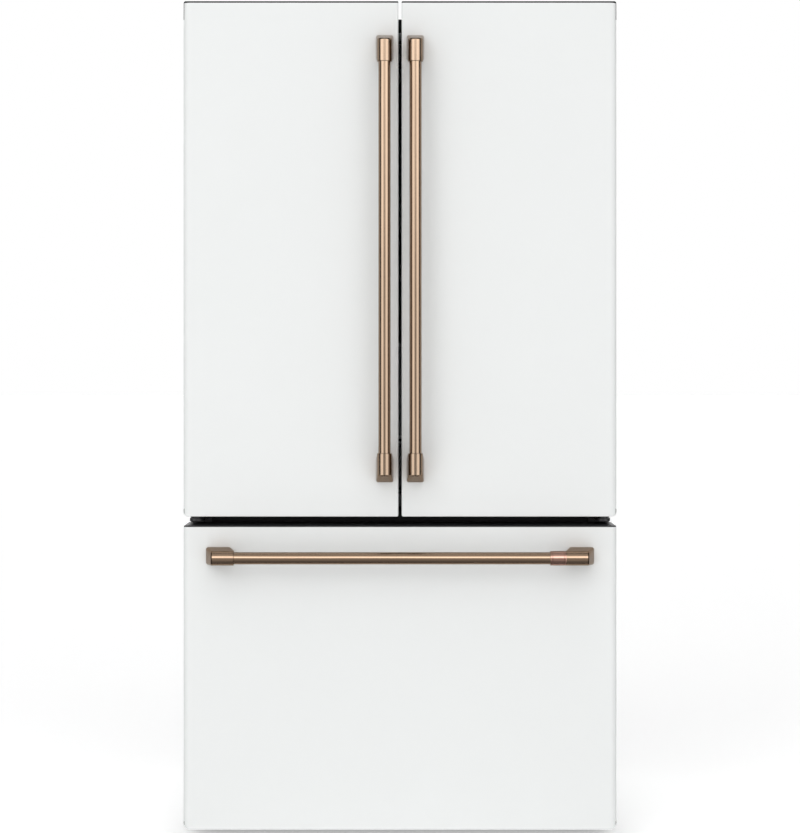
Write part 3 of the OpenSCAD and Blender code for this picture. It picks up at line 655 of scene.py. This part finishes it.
def add_case():
    low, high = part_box("outer_case")
    flange, t, r = 0.026, 0.0015, 0.006
    path_steps = 6

    def arch(inset):
        points = rounded(low.x + inset, high.x - inset, low.z, high.z - inset,
                         [0.0001, 0.0001, max(r - inset, 0.0003), max(r - inset, 0.0003)],
                         path_steps)
        start = path_steps + 1
        keep = points[start + path_steps:] + points[:1]
        return [(a, max(b, low.z)) for a, b, _, _ in keep]

    profile = [(0, high.y), (0, low.y + 0.001), (0.0003, low.y + 0.0003), (0.001, low.y),
               (flange, low.y), (flange, low.y + t), (t, low.y + t), (t, high.y)]
    rings = [[(a, y, b) for a, b in arch(inset)] for inset, y in profile]
    bm = bmesh.new()
    ring_faces(bm, rings, close_profile=True, close_path=False)
    piece("outer_case_finish", bm, "cabinet", paint, ("outer_case",), 30)


def add_cavity(node, piece_name, cavity, lip, y_front, y_back, corner, back_r, t):
    """A moulded liner: a lip, round inner corners and a round edge to the back wall."""
    def ring(rect, grow, y, r):
        return [(a, y, b) for a, b, _, _ in
                rounded(rect[0] - grow, rect[1] + grow, rect[2] - grow, rect[3] + grow, r)]
    mouth = 0.003
    rings = [ring(lip, 0, y_front, 0.0005)]
    rings += [ring(cavity, mouth * s, y_front + mouth * c, corner) for s, c in quarter(4)]
    rings += [ring(cavity, -back_r * c, y_back - back_r * s, max(corner, 0.004))
              for s, c in quarter(6)]
    outer = [ring(cavity, t, y_back + t, corner + t), ring(cavity, t, y_front + t, corner + t),
             ring(lip, 0, y_front + t, 0.0005)]
    bm = bmesh.new()
    rows = ring_faces(bm, rings, cap_last=True)
    join(bm, rows[0], ring_faces(bm, outer, cap_first=True)[-1])
    piece(piece_name, bm, "cabinet", inner_white, (node,), 30)


CAVITY_HALF, CAVITY_TOP = 0.400, 1.692
LINER_T = 0.002
LIP_RAISE = 0.0019      # closes the line over the liner, where its foam would show


def add_liners():
    low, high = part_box("fresh_food_liner")
    cavity = (-CAVITY_HALF, CAVITY_HALF, low.z + LINER_T, CAVITY_TOP)
    lip = (low.x, high.x, low.z, high.z + LIP_RAISE)
    add_cavity("fresh_food_liner", "fresh_food_liner_finish", cavity, lip, low.y,
               high.y - LINER_T, 0.014, 0.020, LINER_T)
    refined("freezer_liner", inner_white, 0.0009)
    add_flap_guides_and_gap_shade()
    add_shelf_ribs()
    add_shelf_tracks()


def add_flap_guides_and_gap_shade():
    """The dark plate over the door gap, which is painted shade that keeps the gap black behind the doors, and the
    two blocks that steer the flap.
    """
    shade_plate_z, upper_z, lower_z = (1.694, 1.747), (1.701, 1.718), (0.700, 0.7285)
    bm = bmesh.new()
    # painted shade: a dark plate on the case front that stands for the shadow deep in the door gap
    round_box(bm, (-0.011, CASE_FRONT - 0.0015, shade_plate_z[0]),
              (0.011, CASE_FRONT + 0.001, shade_plate_z[1]), 0.0005, 2)
    piece("gap_shade_plate", bm, "cabinet", dark_plastic)
    bm = bmesh.new()
    for (z0, z1), back in ((upper_z, -0.0002), (lower_z, 0.006)):
        round_box(bm, (-0.010, CASE_FRONT - 0.003, z0), (0.010, CASE_FRONT + back, z1), 0.001)
    piece("flap_guides", bm, "cabinet", guide_grey)


def add_shelf_ribs():
    """Moulded runners on the side walls under the two decks."""
    bm = bmesh.new()
    for side in (-1, 1):
        for z in (0.8385, 1.0415):
            round_box(bm, (side * (CAVITY_HALF + 0.0005), -0.08, z - 0.006),
                      (side * (CAVITY_HALF - 0.006), 0.30, z), 0.002)
    piece("liner_runners", bm, "cabinet", inner_white)


def add_shelf_tracks():
    """Slotted steel tracks on the back wall that the shelf arms hook into."""
    y1 = hi("air_tower").y - 0.0004
    low_z, high_z, pitch = 1.075, 1.655, 0.020
    bm = bmesh.new()
    for x in (-0.385, -0.095, 0.095, 0.385):
        for dx in (-0.0075, 0.0045):
            round_box(bm, (x + dx, y1 - 0.003, low_z), (x + dx + 0.003, y1, high_z), 0.0005, 1)
        z = low_z
        while z < high_z:
            round_box(bm, (x - 0.005, y1 - 0.0028, z), (x + 0.005, y1 - 0.0004, z + 0.007),
                      0.0004, 1)
            z += pitch
    piece("shelf_tracks", bm, "cabinet", zinc)


def add_shelves():
    """Glass panels with moulded frames, metal front trims and hooked arms."""
    glass_bm, frame_bm, trim_bm, arm_bm = (bmesh.new() for _ in range(4))
    front, back = lo("shelf_frames").y, hi("shelf_frames").y
    z_levels = (1.215, 1.385, 1.550)
    decks = (0.843, 1.046)
    edge = 0.0082
    panels = [(s * 0.200 - 0.196, s * 0.200 + 0.196, z, 0.006) for z in z_levels for s in (-1, 1)]
    panels += [(-0.399, 0.399, z, 0.003) for z in decks]
    for x0, x1, z, below in panels:
        profile = soft_profile(0.008, z - below, z + 0.005, 0.0016)
        frame_sweep(frame_bm, (x0, x1, front + 0.002, back), 0.006, profile, "xy")
        round_box(glass_bm, (x0 + edge, front + edge, z), (x1 - edge, back - edge, z + 0.004),
                  0.0008)
        round_box(trim_bm, (x0 + 0.001, front, z - below + 0.0006),
                  (x1 - 0.001, front + 0.003, z + 0.0044), 0.001)
    for x0, x1, z, _ in panels[:-2]:
        for x in (x0 + 0.001, x1 - 0.0035):
            add_arm(arm_bm, x, 0.0025, z, front + 0.03, back + 0.022)
    round_box(frame_bm, (-0.003, front + 0.001, decks[0] + 0.005),
              (0.003, back, decks[1] - 0.003), 0.001)
    piece("shelf_frames_finish", frame_bm, "cabinet", inner_white,
          ("shelf_frames",), 40)
    piece("shelf_glass_finish", glass_bm, "cabinet", glass, ("shelf_glass",), 30)
    piece("shelf_trims", trim_bm, "cabinet", fin_metal)
    piece("shelf_arms", arm_bm, "cabinet", inner_white)


def add_arm(bm, x, t, z, y0, y1):
    """A tapered steel arm under a shelf, hooked into its track at the back."""
    outline = [(y0, z - 0.008), (y1 - 0.03, z - 0.034), (y1 - 0.004, z - 0.040), (y1, z - 0.038),
               (y1, z - 0.006), (y0, z - 0.0062)]
    rings = [[(x + dx, y, zz) for y, zz in outline] for dx in (0, t)]
    ring_faces(bm, rings, cap_first=True, cap_last=True)


def add_food_drawers():
    for node in ("crisper_left", "crisper_right", "deli_drawer"):
        low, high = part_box(node)
        bm = bmesh.new()
        front = low.y + 0.013
        tub(bm, (low.x, front, low.z), high, 0.0025, 0.016, 0.010, 0.004, 0.004, 0.008)
        piece(node + "_tub", bm, node, clear_bin, (node,), 40)
        bm = bmesh.new()
        round_box(bm, (low.x, front - 0.005, low.z), (high.x, front, high.z), 0.0022)
        round_box(bm, (low.x + 0.04, low.y, high.z - 0.016),
                  (high.x - 0.04, front - 0.004, high.z - 0.009), 0.003)
        piece(node + "_front", bm, node, clear_bin, (), 40)
        bm = bmesh.new()
        profile = soft_profile(0.005, front - 0.0062, front - 0.0048, 0.0006)
        frame_sweep(bm, (low.x, high.x, low.z, high.z), 0.004, profile, "xz")
        piece(node + "_trim", bm, node, inner_white, (), 40)


BIN_LEVELS = (0.760, 1.010, 1.260, 1.490)
BIN_H = 0.100


def add_door_insides():
    """Liner plates with their raised frames, bins, the dairy lid and the flap."""
    for body in ("door_left", "door_right"):
        refined(body + "_liner", inner_white, 0.0015)
        low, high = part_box(body + "_bins")
        bm = bmesh.new()
        for z in BIN_LEVELS:
            tub(bm, (low.x, low.y, z), (high.x, high.y, z + BIN_H), 0.0025, 0.018, 0.010, 0.004,
                0.0035, 0.008)
        piece(body + "_bins_finish", bm, body, clear_bin, (body + "_bins",), 40)
        bm = bmesh.new()
        for z in BIN_LEVELS:
            round_box(bm, (low.x + 0.02, high.y - 0.0032, z + 0.080),
                      (high.x - 0.02, high.y + 0.0006, z + 0.091), 0.0012)
        piece(body + "_bin_trims", bm, body, fin_metal)
    refined("dairy_lid", clear_bin, 0.001)
    refined("mullion_flap", cap_plastic, 0.0015)


# ---------- Fixtures inside the case ----------

def add_fixtures():
    refined("air_tower", inner_white, 0.0012)
    refined("ceiling_panel", inner_white, 0.003)
    low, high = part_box("ceiling_panel")
    bm = bmesh.new()
    round_box(bm, (low.x + 0.05, low.y + 0.10, low.z - 0.003),
              (high.x - 0.05, high.y - 0.05, low.z + 0.002), 0.002)
    piece("ceiling_light_lens", bm, "cabinet", light_lens)
    bm = bmesh.new()
    key_pitch = 0.045
    for i in range(5):
        x = (i - 2) * key_pitch
        round_box(bm, (x - 0.014, low.y + 0.025, low.z - 0.0012),
                  (x + 0.014, low.y + 0.053, low.z + 0.001), 0.0008)
    piece("control_keys", bm, "cabinet", cap_plastic)
    refined("evaporator_cover", inner_white, 0.0005)
    refined("icemaker", inner_white, 0.003)
    refined("slide_rails", zinc)
    refined("slide_middles", zinc)
    refined("centre_rail", dark_plastic, 0.0006)
    refined("lower_basket", frosted)
    refined("upper_basket", frosted)
    refined("freezer_door_liner", inner_white, 0.0015)


# ---------- Hinges, feet, grilles ----------

def add_hardware():
    refined("top_hinges", zinc, 0.0006)
    refined("hinge_covers", cap_plastic, 0.003)
    refined("mid_hinges", dark_steel, 0.0006)
    refined("toe_grille", dark_plastic, 0.0006)
    refined("machine_cover", zinc, 0.0003)
    refined("base_frame", dark_steel)
    add_back_panel()
    add_legs()
    for word in ("left", "right"):
        add_wheel("wheel_" + word)


def add_back_panel():
    """A flat back with pressed stiffening beads and a row of screws down each side."""
    low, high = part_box("back_panel")
    bm = bmesh.new()
    round_box(bm, low, (high.x, high.y - 0.0006, high.z), 0.0002, 1)
    for x in (-0.27, -0.09, 0.09, 0.27):
        round_box(bm, (x - 0.012, high.y - 0.0012, low.z + 0.12),
                  (x + 0.012, high.y, high.z - 0.12), 0.0006, 2)
    piece("back_panel_finish", bm, "cabinet", zinc, ("back_panel",))
    bm = bmesh.new()
    count = 8
    for side in (-1, 1):
        for i in range(count):
            z = low.z + 0.04 + i * (high.z - low.z - 0.08) / (count - 1)
            profile = [(0, 0.0009), (0.002, 0.0008), (0.0042, 0.0003), (0.0046, -0.0004)]
            lathe(bm, profile, (side * (high.x - 0.015), high.y - 0.0009, z), "y", 20)
    piece("back_screws", bm, "cabinet", dark_steel)


def add_legs():
    low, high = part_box("leveling_legs")
    pad_r = (high.y - low.y) / 2
    y = (high.y + low.y) / 2
    bm = bmesh.new()
    for side in (-1, 1):
        x = side * (high.x - pad_r)
        profile = [(0, 0), (pad_r - 0.0015, 0), (pad_r, 0.0015), (pad_r, 0.0055),
                   (pad_r - 0.002, 0.0075), (0.010, 0.009)]
        z, thread_top, thread_pitch = 0.009, 0.027, 0.0018
        while z < thread_top:
            profile += [(0.0060, z), (0.0052, z + 0.0009)]
            z += thread_pitch
        profile += [(0.006, 0.028), (0.0115, 0.0285), (0.012, 0.0290), (0.012, high.z - 0.0005),
                    (0.0115, high.z), (0, high.z)]
        lathe(bm, profile, (x, y, 0), "z", 48)
    piece("leveling_legs_finish", bm, "cabinet", dark_plastic,
          ("leveling_legs",), 34)


def add_wheel(node):
    low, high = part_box(node)
    r = (high.z - low.z) / 2
    half = (high.x - low.x) / 2
    centre = (low + high) / 2
    bore = 0.00405
    half_profile = [(bore, half), (0.009, half), (0.0095, half - 0.001), (0.0105, half - 0.003),
                    (r - 0.005, half - 0.003), (r - 0.004, half - 0.001),
                    (r - 0.002, half - 0.0004), (r, half - 0.003), (r, 0.0015)]
    profile = [(radius, -along) for radius, along in half_profile] + [(r - 0.0015, 0)]
    profile += half_profile[::-1] + [(bore, -half)]
    bm = bmesh.new()
    lathe(bm, profile, centre, "x", 64)
    for i in range(6):
        a = math.pi * i / 3
        spoke = Vector((0, math.cos(a), math.sin(a)))
        outer = centre + Vector((half - 0.0032, 0, 0))
        tube(bm, [outer + spoke * 0.0095, outer + spoke * (r - 0.0055)], 0.0012, 8)
    bmesh.ops.remove_doubles(bm, verts=bm.verts, dist=1e-7)
    piece(node + "_finish", bm, node, dark_plastic, (node,), 34)


# ---------- Machine compartment and coils ----------

def fan_mesh(bm, centre, axis, r, hub, w, blades):
    """A rotor: a domed hub and swept, twisted blades with real thickness."""
    turn = AXIS_TURNS[axis]
    centre = Vector(centre)
    half = w / 2
    lathe(bm, [(0.0031, -half), (hub - 0.002, -half), (hub, -half + 0.002), (hub, half * 0.4),
               (hub * 0.8, half * 0.85), (hub * 0.4, half), (0.0031, half), (0.0031, -half)],
          centre, axis, 48)
    rows, columns, t = 7, 8, 0.0008
    for b in range(blades):
        start = 2 * math.pi * b / blades
        sheets = []
        for lift in (t, -t):
            sheet = []
            for i in range(rows):
                f = i / (rows - 1)
                radius = hub * 0.9 + (r - hub * 0.9) * f
                pitch = math.radians(42 - 20 * f)
                chord = 0.55 * r * (0.75 + 0.35 * math.sin(math.pi * f))
                sweep = 0.25 * f
                line = []
                for j in range(columns):
                    g = j / (columns - 1) - 0.5
                    arc = g * chord * math.cos(pitch) / radius + sweep + start
                    along = g * min(chord * math.sin(pitch), w * 0.92)
                    camber = 0.0022 * math.cos(math.pi * g)
                    thin = math.cos(math.pi * g) * 0.8 + 0.2
                    line.append(bm.verts.new(centre + turn @ Vector((
                        radius * math.cos(arc), radius * math.sin(arc),
                        max(-half, min(half, along + camber + lift * thin))))))
                sheet.append(line)
            sheets.append(sheet)
        join_sheets(bm, sheets[0], sheets[1])


def join_sheets(bm, top, bottom):
    """Closes two grids of points into one thin blade."""
    rows, columns = len(top), len(top[0])
    for sheet in (top, bottom):
        for i in range(rows - 1):
            for j in range(columns - 1):
                bm.faces.new((sheet[i][j], sheet[i][j + 1], sheet[i + 1][j + 1], sheet[i + 1][j]))
    rim = [(0, j) for j in range(columns)] + [(i, columns - 1) for i in range(1, rows)]
    rim += [(rows - 1, j) for j in range(columns - 2, -1, -1)]
    rim += [(i, 0) for i in range(rows - 2, 0, -1)]
    for (i, j), (m, n) in zip(rim, rim[1:] + rim[:1]):
        bm.faces.new((top[i][j], top[m][n], bottom[m][n], bottom[i][j]))


def add_fans():
    blades = 5
    for node, axis, hub, r, mat, slot in (
            ("condenser_fan", "x", 0.018, 0.0565, fin_metal, "coil_metal"),
            ("evaporator_fan", "y", 0.015, 0.0415, dark_plastic, "dark_plastic")):
        low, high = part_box(node)
        middle = (low + high) / 2
        index = "xyz".index(axis)
        joint = next(j for j in frame["joints"] if j["child"] == node)
        centre = Vector(joint["pos_m"])
        centre[index] = middle[index]
        bm = bmesh.new()
        fan_mesh(bm, centre, axis, r, hub, high[index] - low[index], blades)
        piece(node + "_finish", bm, node, mat, (node,), 40)


def add_machines():
    refined("compressor", dark_steel, 0.0015)
    refined("condenser_fan_motor", dark_steel, 0.0006)
    refined("condenser_coil", fin_metal, 0.0003)
    refined("evaporator_coil", fin_metal, 0.0003)
    add_valve()
    add_machine_lining()
    shell_x = -0.230
    y = (lo("compressor").y + hi("compressor").y) / 2
    bm = bmesh.new()
    lathe(bm, [(0.0755, 0.158), (0.0785, 0.159), (0.0785, 0.165), (0.0755, 0.166)],
          (shell_x, y, 0), "z", 72)
    piece("compressor_seam", bm, "cabinet", dark_steel)
    bm = bmesh.new()
    tube(bm, [(-0.175, 0.245, 0.235), (-0.172, 0.238, 0.262)]
         + bend((-0.152, 0.238, 0.262), 0.020, 180, 90, "xz")
         + [(-0.05, 0.238, 0.282), (0.080, 0.236, 0.282)]
         + bend((0.080, 0.236, 0.262), 0.020, 90, 0, "xz") + [(0.100, 0.240, 0.247)], 0.0040)
    piece("discharge_tube", bm, "cabinet", tube_copper)


def add_machine_lining():
    """Dark sheet over the foam round the machine compartment, half wide inside, with returns
    behind the cover out to its last slots."""
    cover = lo("machine_cover").y
    top = hi("machine_cover").z
    foot = hi("base_frame").z
    front = lo("compressor").y - 0.022
    half, slots, t = 0.388, 0.411, 0.0006
    bm = bmesh.new()
    for side in (-1, 1):
        inner = side * (half - t)
        round_box(bm, (side * half, front, foot), (inner, cover, top), 0.0001, 1)
        round_box(bm, (inner, cover - 0.0001, foot), (side * slots, cover + 0.0003, top),
                  0.0001, 1)
    round_box(bm, (-half, front, foot), (half, front + t, top), 0.0001, 1)
    round_box(bm, (-half, front, top - t), (half, cover, top), 0.0001, 1)
    piece("machine_lining", bm, "cabinet", dark_steel)


def add_valve():
    """The water valve: a brass body, a threaded inlet stub and its solenoid."""
    low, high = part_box("water_valve")
    x, z = (low.x + high.x) / 2, 0.105
    crest, root, pitch, thread_end = 0.00555, 0.0049, 0.0013, 0.392
    bm = bmesh.new()
    round_box(bm, (low.x, 0.330, z - 0.026), (high.x, 0.372, z + 0.026), 0.004)
    round_box(bm, (low.x + 0.004, low.y, low.z), (high.x - 0.004, 0.331, z + 0.022), 0.003)
    profile = [(crest, 0.371), (crest, 0.374)]
    y = 0.375
    while y < thread_end:
        profile += [(root, y), (crest, y + 0.0006)]
        y += pitch
    profile += [(0.0050, high.y), (0.0030, high.y), (0.0030, 0.380), (0, 0.380)]
    lathe(bm, profile, (x, 0, z), "y", 40)
    piece("water_valve_finish", bm, "cabinet", brass, ("water_valve",), 34)


def dress_foam():
    """The hidden foam keeps its CAD shape and takes a foam material."""
    for node in ("cabinet_foam", "door_left_foam", "door_right_foam", "freezer_foam"):
        obj = CAD[node]
        obj.data.materials.clear()
        obj.data.materials.append(foam)


# ---------- Studio ----------

SKY = 1.51              # strength of what lights the object
BOXES = 3.6             # strength of what it reflects
FLOOR_GLOW = 0.33       # lifts the floor to the photo's white


def add_world():
    """White behind the object, a soft sky for its light, and softboxes for its reflections.
    height runs from 0 straight down to 1 straight up, around from 0 in front to 1 behind."""
    world = bpy.data.worlds.new("studio")
    bpy.context.scene.world = world
    world.use_nodes = True
    nodes, links = world.node_tree.nodes, world.node_tree.links

    def ramp(source, stops):
        node = nodes.new("ShaderNodeValToRGB")
        while len(node.color_ramp.elements) < len(stops):
            node.color_ramp.elements.new(0.5)
        for element, (place, value) in zip(node.color_ramp.elements, stops):
            element.position = place
            element.color = (value, value, value, 1)
        links.new(source, node.inputs["Fac"])
        return node.outputs["Color"]

    def math_of(operation, *values):
        node = nodes.new("ShaderNodeMath")
        node.operation = operation
        for socket, value in zip(node.inputs, values):
            if isinstance(value, (int, float)):
                socket.default_value = value
            else:
                links.new(value, socket)
        return node.outputs[0]

    axes = nodes.new("ShaderNodeSeparateXYZ")
    links.new(nodes.new("ShaderNodeTexCoord").outputs["Generated"], axes.inputs[0])
    x, y, z = axes.outputs
    height = math_of("MULTIPLY_ADD", z, 0.5, 0.5)
    angle = math_of("ARCTAN2", x, math_of("MULTIPLY", y, -1.0))
    around = math_of("DIVIDE", math_of("ABSOLUTE", angle), math.pi)
    sky = ramp(height, [(0.0, 0.60), (0.50, 0.30), (0.66, 0.44), (0.88, 1.0), (1.0, 1.0)])
    sides = ramp(around, [(0.0, 1.0), (0.22, 1.0), (0.36, 0.12), (0.61, 0.12), (0.80, 0.6),
                          (1.0, 0.6)])
    sky = math_of("MULTIPLY", math_of("MULTIPLY", sky, sides), SKY)
    middle = ramp(height, [(0.0, 0.03), (0.06, 0.07), (0.17, 0.10), (0.31, 0.17), (0.47, 0.16),
                           (0.53, 0.23), (0.59, 0.55), (0.64, 1.2), (0.74, 1.25), (0.81, 0.6),
                           (0.90, 0.15), (0.98, 0.26)])
    front = ramp(around, [(0.0, 1.0), (0.10, 1.0), (0.17, 0.0), (0.70, 0.0), (0.85, 0.6),
                          (1.0, 0.6)])
    uprights = ramp(height, [(0.0, 0.08), (0.20, 0.25), (0.40, 0.62), (0.47, 0.68), (0.53, 0.72),
                             (0.56, 0.88), (0.65, 0.98), (0.75, 0.90), (0.90, 0.30), (1.0, 0.15)])
    beside = ramp(around, [(0.0, 0.0), (0.085, 0.0), (0.15, 1.0), (0.31, 1.0), (0.40, 0.05),
                           (0.75, 0.05), (0.85, 0.5), (1.0, 0.5)])
    middle = math_of("MULTIPLY", middle, front)
    uprights = math_of("MULTIPLY", uprights, beside)
    boxes = math_of("MULTIPLY", math_of("ADD", middle, uprights), BOXES)
    rays = nodes.new("ShaderNodeLightPath")
    light = nodes.new("ShaderNodeMix")
    links.new(rays.outputs["Is Glossy Ray"], light.inputs[0])
    links.new(sky, light.inputs[2])
    links.new(boxes, light.inputs[3])
    final = nodes.new("ShaderNodeMix")
    links.new(rays.outputs["Is Camera Ray"], final.inputs[0])
    links.new(light.outputs[0], final.inputs[2])
    final.inputs[3].default_value = 1.0
    links.new(final.outputs[0], nodes["Background"].inputs["Strength"])
    nodes["Background"].inputs["Color"].default_value = (1, 1, 1, 1)


def add_studio():
    """A pale floor and two softboxes. The floor isn't seen in reflections."""
    scene = bpy.context.scene
    scene.view_settings.view_transform = "Standard"
    mesh = bpy.data.meshes.new("floor")
    size = 60
    mesh.from_pydata([(-size, -size, 0), (size, -size, 0), (size, size, 0), (-size, size, 0)],
                     [], [(0, 1, 2, 3)])
    floor = bpy.data.objects.new("floor", mesh)
    scene.collection.objects.link(floor)
    mesh.materials.append(surface("pale_floor", (0.93, 0.93, 0.93), 0.8, tint=0.004, grain=60.0,
                                  bump=0.02, Emission_Color=(1, 1, 1, 1),
                                  Emission_Strength=FLOOR_GLOW))
    floor.visible_glossy = False
    add_world()
    add_light("key", (-2.9, -4.6, 3.4), 3.0, 2.6, 42)
    add_light("fill", (3.1, -4.8, 2.4), 2.6, 3.0, 15)


def add_light(name, place, width, height, power):
    """A softbox aimed at the middle. Its own reflection is left to the world's softboxes."""
    data = bpy.data.lights.new(name, "AREA")
    data.shape = "RECTANGLE"
    data.size = width
    data.size_y = height
    data.energy = power
    light = bpy.data.objects.new(name, data)
    light.location = place
    aim = Vector((0, -0.3, 1.0)) - Vector(place)
    light.rotation_euler = aim.to_track_quat("-Z", "Y").to_euler()
    light.visible_glossy = False
    bpy.context.scene.collection.objects.link(light)


def add_camera():
    """A level camera in front. The object's front takes up front_share of the picture's width,
    and its top is top_margin of the picture's height below the picture's top."""
    sensor = 36.0
    distance = 3.8
    shift = -0.06
    height_to_width = 833 / 800
    front_share = 0.542875
    top_margin = 0.0012
    picture_h = 2 * HALF_W / front_share * height_to_width
    data = bpy.data.cameras.new("camera")
    data.sensor_width = sensor
    data.lens = distance / picture_h * sensor
    data.shift_y = shift
    camera = bpy.data.objects.new("camera", data)
    eye = DOOR_TOP - (0.5 + shift - top_margin) * picture_h
    camera.location = (0, FACE_Y - distance, eye)
    camera.rotation_euler = (math.pi / 2, 0, 0)
    bpy.context.scene.collection.objects.link(camera)
    bpy.context.scene.camera = camera


add_camera()
add_doors()
add_drawer_front()
add_handles()
add_case()
add_liners()
add_shelves()
add_food_drawers()
add_door_insides()
add_fixtures()
add_hardware()
add_fans()
add_machines()
dress_foam()
add_studio()
